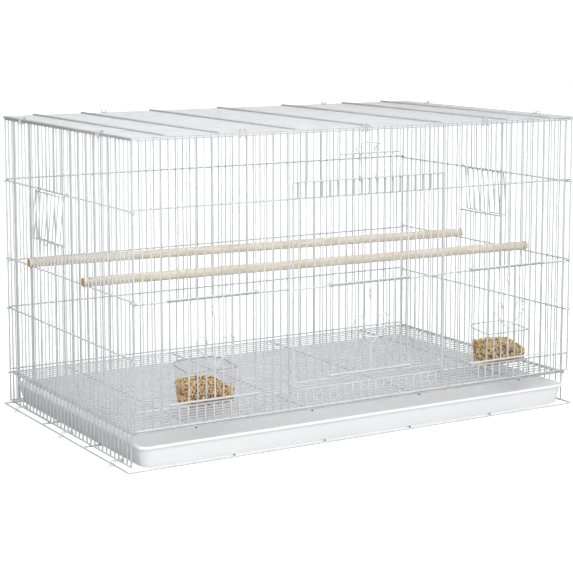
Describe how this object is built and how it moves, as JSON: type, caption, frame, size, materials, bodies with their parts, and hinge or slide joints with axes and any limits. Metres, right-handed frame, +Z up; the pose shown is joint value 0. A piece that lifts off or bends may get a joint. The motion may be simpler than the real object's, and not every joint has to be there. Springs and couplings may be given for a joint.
{
  "type": "bird breeding cage",
  "caption": "Rectangular wire breeding cage for small birds, with a drop-down front door, sliding feeder doors, nest openings, perches, seed cups, a grate and a pull-out tray.",
  "frame": {"origin": "on the ground, under the middle of the whole cage", "axes": "+X to the right of someone facing the front, +Z up, the front looks along -Y"},
  "size_m": [0.7908, 0.4738, 0.4628],
  "materials": {
    "back_panel": "powder coated",
    "base_back_rail": "powder coated",
    "base_cross_wire_back": "powder coated",
    "base_cross_wire_front": "powder coated",
    "base_front_rail": "powder coated",
    "base_hook_left_1": "powder coated",
    "base_hook_left_2": "powder coated",
    "base_hook_left_3": "powder coated",
    "base_hook_right_1": "powder coated",
    "base_hook_right_2": "powder coated",
    "base_hook_right_3": "powder coated",
    "base_left_rail": "powder coated",
    "base_right_rail": "powder coated",
    "centre_door": "powder coated",
    "door_latch": "powder coated",
    "feeder_cup_left": "clear",
    "feeder_cup_right": "clear",
    "feeder_door_left": "powder coated",
    "feeder_door_right": "powder coated",
    "floor_grate": "powder coated",
    "front_panel": "powder coated",
    "left_panel": "powder coated",
    "main_door": "powder coated",
    "nest_door_left": "powder coated",
    "nest_door_right": "powder coated",
    "perch_back": "bare",
    "perch_front": "bare",
    "right_panel": "powder coated",
    "roof_clip_back_1": "powder coated",
    "roof_clip_back_2": "powder coated",
    "roof_clip_front_1": "powder coated",
    "roof_clip_front_2": "powder coated",
    "roof_clip_front_3": "powder coated",
    "roof_clip_left_1": "powder coated",
    "roof_clip_left_2": "powder coated",
    "roof_clip_right_1": "powder coated",
    "roof_clip_right_2": "powder coated",
    "roof_panel": "powder coated",
    "seed_left": "loose grain",
    "seed_right": "loose grain",
    "tray": "satin",
    "tray_wire_1": "powder coated",
    "tray_wire_2": "powder coated",
    "tray_wire_3": "powder coated",
    "tray_wire_4": "powder coated"
  },
  "bodies": {
    "cage": {"back_panel": "back_panel", "base_back_rail": "base_back_rail", "base_cross_wire_back": "base_cross_wire_back", "base_cross_wire_front": "base_cross_wire_front", "base_front_rail": "base_front_rail", "base_hook_left_1": "base_hook_left_1", "base_hook_left_2": "base_hook_left_2", "base_hook_left_3": "base_hook_left_3", "base_hook_right_1": "base_hook_right_1", "base_hook_right_2": "base_hook_right_2", "base_hook_right_3": "base_hook_right_3", "base_left_rail": "base_left_rail", "base_right_rail": "base_right_rail", "front_panel": "front_panel", "left_panel": "left_panel", "right_panel": "right_panel", "roof_clip_back_1": "roof_clip_back_1", "roof_clip_back_2": "roof_clip_back_2", "roof_clip_front_1": "roof_clip_front_1", "roof_clip_front_2": "roof_clip_front_2", "roof_clip_front_3": "roof_clip_front_3", "roof_clip_left_1": "roof_clip_left_1", "roof_clip_left_2": "roof_clip_left_2", "roof_clip_right_1": "roof_clip_right_1", "roof_clip_right_2": "roof_clip_right_2", "roof_panel": "roof_panel", "tray_wire_1": "tray_wire_1", "tray_wire_2": "tray_wire_2", "tray_wire_3": "tray_wire_3", "tray_wire_4": "tray_wire_4"},
    "tray": {"tray": "tray"},
    "grate": {"floor_grate": "floor_grate"},
    "main_door": {"main_door": "main_door"},
    "latch": {"door_latch": "door_latch"},
    "centre_door": {"centre_door": "centre_door"},
    "feeder_door_left": {"feeder_door_left": "feeder_door_left"},
    "feeder_door_right": {"feeder_door_right": "feeder_door_right"},
    "nest_door_left": {"nest_door_left": "nest_door_left"},
    "nest_door_right": {"nest_door_right": "nest_door_right"},
    "perch_front": {"perch_front": "perch_front"},
    "perch_back": {"perch_back": "perch_back"},
    "cup_left": {"feeder_cup_left": "feeder_cup_left", "seed_left": "seed_left"},
    "cup_right": {"feeder_cup_right": "feeder_cup_right", "seed_right": "seed_right"}
  },
  "joints": [
    {"name": "tray_slide", "type": "slide", "parent": "cage", "child": "tray", "axis": [0, -1, 0], "range_m": [0, 0.28]},
    {"name": "grate_slide", "type": "slide", "parent": "cage", "child": "grate", "axis": [0, -1, 0], "range_m": [0, 0.28]},
    {"name": "main_door_hinge", "type": "hinge", "parent": "cage", "child": "main_door", "pos_m": [0, -0.22427, 0.083], "axis": [1, 0, 0], "range_deg": [0, 90]},
    {"name": "latch_pivot", "type": "hinge", "parent": "main_door", "child": "latch", "pos_m": [0, -0.23007, 0.384], "axis": [1, 0, 0], "range_deg": [0, 90]},
    {"name": "centre_door_slide", "type": "slide", "parent": "main_door", "child": "centre_door", "axis": [0, 0, 1], "range_m": [0, 0.12]},
    {"name": "feeder_door_left_slide", "type": "slide", "parent": "cage", "child": "feeder_door_left", "axis": [0, 0, 1], "range_m": [0, 0.12]},
    {"name": "feeder_door_right_slide", "type": "slide", "parent": "cage", "child": "feeder_door_right", "axis": [0, 0, 1], "range_m": [0, 0.12]},
    {"name": "nest_door_left_hinge", "type": "hinge", "parent": "cage", "child": "nest_door_left", "pos_m": [-0.3759, 0.05288, 0.357], "axis": [0, 1, 0], "range_deg": [-5, 65]},
    {"name": "nest_door_right_hinge", "type": "hinge", "parent": "cage", "child": "nest_door_right", "pos_m": [0.3759, -0.00112, 0.357], "axis": [0, -1, 0], "range_deg": [-5, 65]},
    {"name": "perch_front_lift", "type": "slide", "parent": "cage", "child": "perch_front", "axis": [0, 0, 1], "range_m": [0, 0.1]},
    {"name": "perch_back_lift", "type": "slide", "parent": "cage", "child": "perch_back", "axis": [0, 0, 1], "range_m": [0, 0.1]},
    {"name": "cup_left_lift", "type": "slide", "parent": "cage", "child": "cup_left", "axis": [0, 0, 1], "range_m": [0, 0.09]},
    {"name": "cup_right_lift", "type": "slide", "parent": "cage", "child": "cup_right", "axis": [0, 0, 1], "range_m": [0, 0.09]}
  ]
}
